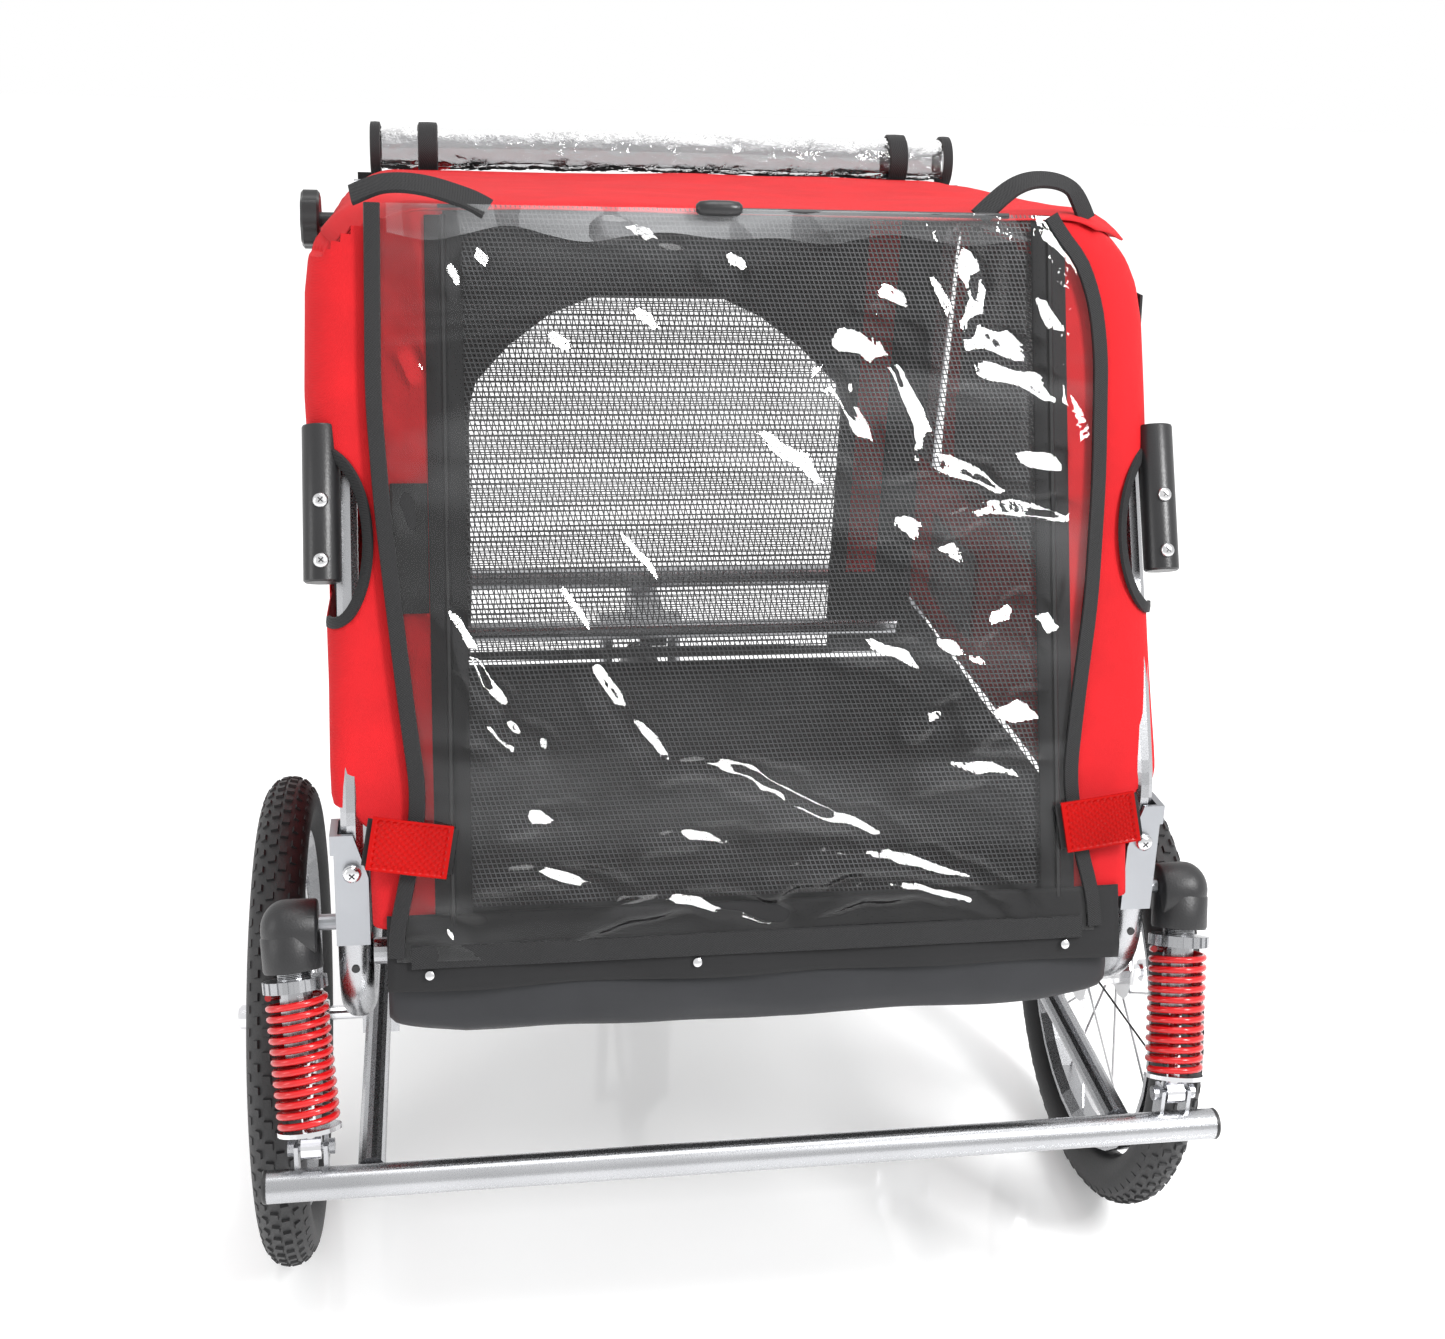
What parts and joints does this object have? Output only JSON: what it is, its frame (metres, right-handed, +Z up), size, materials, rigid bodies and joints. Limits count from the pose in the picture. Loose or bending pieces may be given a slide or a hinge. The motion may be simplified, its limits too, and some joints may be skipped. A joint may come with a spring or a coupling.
{
  "type": "child bicycle trailer",
  "caption": "Two-wheel bicycle trailer with sprung rear wheels, a front caster wheel, folding sides and a stowed tow arm.",
  "frame": {"origin": "on the ground under the middle of the trailer's bounding box", "axes": "+Z up, +Y the direction of travel, +X to the right seen from behind"},
  "size_m": [0.8, 1.0104, 0.897],
  "materials": {
    "silver_tube": "satin",
    "grey_bracket": "satin",
    "chrome": "polished",
    "steel_fastener": "satin",
    "red_fabric": "matte",
    "red_paint": "gloss",
    "black_fabric": "matte",
    "black_plastic": "matte",
    "rubber": "matte",
    "clear_vinyl": "gloss",
    "reflector_red": "gloss"
  },
  "bodies": {
    "frame": {"base_rail_left": "silver_tube", "base_rail_right": "silver_tube", "rear_cross_tube": "silver_tube", "front_cross_tube": "silver_tube", "head_tube": "silver_tube", "hinge_bracket_rear_left": "grey_bracket", "hinge_bracket_rear_right": "grey_bracket", "hinge_bracket_front_left": "grey_bracket", "hinge_bracket_front_right": "grey_bracket", "arm_hanger_left": "grey_bracket", "arm_hanger_right": "grey_bracket", "hinge_bolt_left": "steel_fastener", "hinge_bolt_right": "steel_fastener", "pivot_rod": "steel_fastener", "tow_pivot_bolt": "steel_fastener", "floor_panel": "black_fabric", "lower_tub": "black_fabric", "rear_pad": "black_fabric", "rear_door": "black_fabric", "front_panel": "black_fabric", "roof_panel": "red_fabric", "rear_cover": "clear_vinyl", "cover_roll": "clear_vinyl", "reflector_left": "reflector_red", "reflector_right": "reflector_red"},
    "roof_bar": {"roof_bar": "silver_tube"},
    "zip_toggle": {"zip_toggle": "black_plastic"},
    "suspension": {"rear_cross_bar": "silver_tube", "swing_arm_left": "silver_tube", "swing_arm_right": "silver_tube", "wheel_axle_left": "chrome", "wheel_axle_right": "chrome"},
    "side_left": {"side_hoop_left": "silver_tube", "side_panel_left": "red_fabric", "handlebar_socket_left": "black_plastic"},
    "knob_left": {"clamp_knob_left": "black_plastic"},
    "wheel_left": {"tyre_left": "rubber", "rim_left": "silver_tube", "hub_left": "steel_fastener"},
    "shock_left": {"shock_cap_left": "rubber", "shock_body_left": "silver_tube", "spring_left": "red_paint"},
    "shock_rod_left": {"shock_rod_left": "chrome"},
    "side_right": {"side_hoop_right": "silver_tube", "side_panel_right": "red_fabric", "handlebar_socket_right": "black_plastic"},
    "knob_right": {"clamp_knob_right": "black_plastic"},
    "wheel_right": {"tyre_right": "rubber", "rim_right": "silver_tube", "hub_right": "steel_fastener"},
    "shock_right": {"shock_cap_right": "rubber", "shock_body_right": "silver_tube", "spring_right": "red_paint"},
    "shock_rod_right": {"shock_rod_right": "chrome"},
    "caster": {"caster_fork": "silver_tube"},
    "front_wheel": {"tyre_front": "rubber", "wheel_front": "silver_tube"},
    "tow_arm": {"tow_arm": "silver_tube"},
    "hitch_pin": {"hitch_pin": "chrome"}
  },
  "joints": [
    {"name": "suspension_pivot", "type": "hinge", "parent": "frame", "child": "suspension", "pos_m": [0, 0.055, 0.245], "axis": [-1, 0, 0], "range_deg": [0, 3], "stiffness_Nm_per_rad": 4840, "springref_deg": -0.52},
    {"name": "shock_pivot_left", "type": "hinge", "parent": "frame", "child": "shock_left", "pos_m": [-0.3386, -0.424, 0.378], "axis": [-1, 0, 0], "range_deg": [0, 6]},
    {"name": "shock_stroke_left", "type": "slide", "parent": "shock_left", "child": "shock_rod_left", "axis": [0, 0.3924, 0.9198], "range_m": [0, 0.03], "deforming": ["spring_left"]},
    {"name": "wheel_spin_left", "type": "hinge", "parent": "suspension", "child": "wheel_left", "pos_m": [-0.355, -0.245, 0.2], "axis": [-1, 0, 0], "continuous": true},
    {"name": "side_fold_left", "type": "hinge", "parent": "frame", "child": "side_left", "pos_m": [-0.2915, -0.435, 0.434], "axis": [0, 1, 0], "range_deg": [0, 90], "deforming": ["roof_panel", "rear_door", "rear_cover", "front_panel", "cover_roll"]},
    {"name": "knob_turn_left", "type": "hinge", "parent": "side_left", "child": "knob_left", "pos_m": [-0.32, -0.085, 0.84], "axis": [1, 0, 0], "continuous": true},
    {"name": "shock_pivot_right", "type": "hinge", "parent": "frame", "child": "shock_right", "pos_m": [0.3386, -0.424, 0.378], "axis": [-1, 0, 0], "range_deg": [0, 6]},
    {"name": "shock_stroke_right", "type": "slide", "parent": "shock_right", "child": "shock_rod_right", "axis": [0, 0.3924, 0.9198], "range_m": [0, 0.03], "deforming": ["spring_right"]},
    {"name": "wheel_spin_right", "type": "hinge", "parent": "suspension", "child": "wheel_right", "pos_m": [0.355, -0.245, 0.2], "axis": [-1, 0, 0], "continuous": true},
    {"name": "side_fold_right", "type": "hinge", "parent": "frame", "child": "side_right", "pos_m": [0.2915, -0.435, 0.434], "axis": [0, -1, 0], "range_deg": [0, 65]},
    {"name": "knob_turn_right", "type": "hinge", "parent": "side_right", "child": "knob_right", "pos_m": [0.32, -0.085, 0.84], "axis": [1, 0, 0], "continuous": true},
    {"name": "roof_bar_lift", "type": "slide", "parent": "frame", "child": "roof_bar", "axis": [0, 0, 1], "range_m": [0, 0.06]},
    {"name": "zip_slide", "type": "slide", "parent": "frame", "child": "zip_toggle", "axis": [1, 0, 0], "range_m": [0, 0.15]},
    {"name": "caster_swivel", "type": "hinge", "parent": "frame", "child": "caster", "pos_m": [0, 0.395, 0.32], "axis": [0, 0, 1], "continuous": true},
    {"name": "front_wheel_spin", "type": "hinge", "parent": "caster", "child": "front_wheel", "pos_m": [0, 0.355, 0.15], "axis": [-1, 0, 0], "continuous": true},
    {"name": "tow_arm_swing", "type": "hinge", "parent": "frame", "child": "tow_arm", "pos_m": [-0.2915, 0.3, 0.405], "axis": [0, 0, 1], "range_deg": [0, 90]},
    {"name": "hitch_pin_pull", "type": "slide", "parent": "tow_arm", "child": "hitch_pin", "axis": [0, 0, 1], "range_m": [0, 0.03]}
  ],
  "couplings": [
    {"joint": "shock_pivot_left", "follows": "suspension_pivot", "ratio": 1.6045},
    {"joint": "shock_stroke_left", "follows": "suspension_pivot", "m_per_rad": 0.48959},
    {"joint": "shock_pivot_right", "follows": "suspension_pivot", "ratio": 1.6045},
    {"joint": "shock_stroke_right", "follows": "suspension_pivot", "m_per_rad": 0.48959}
  ]
}
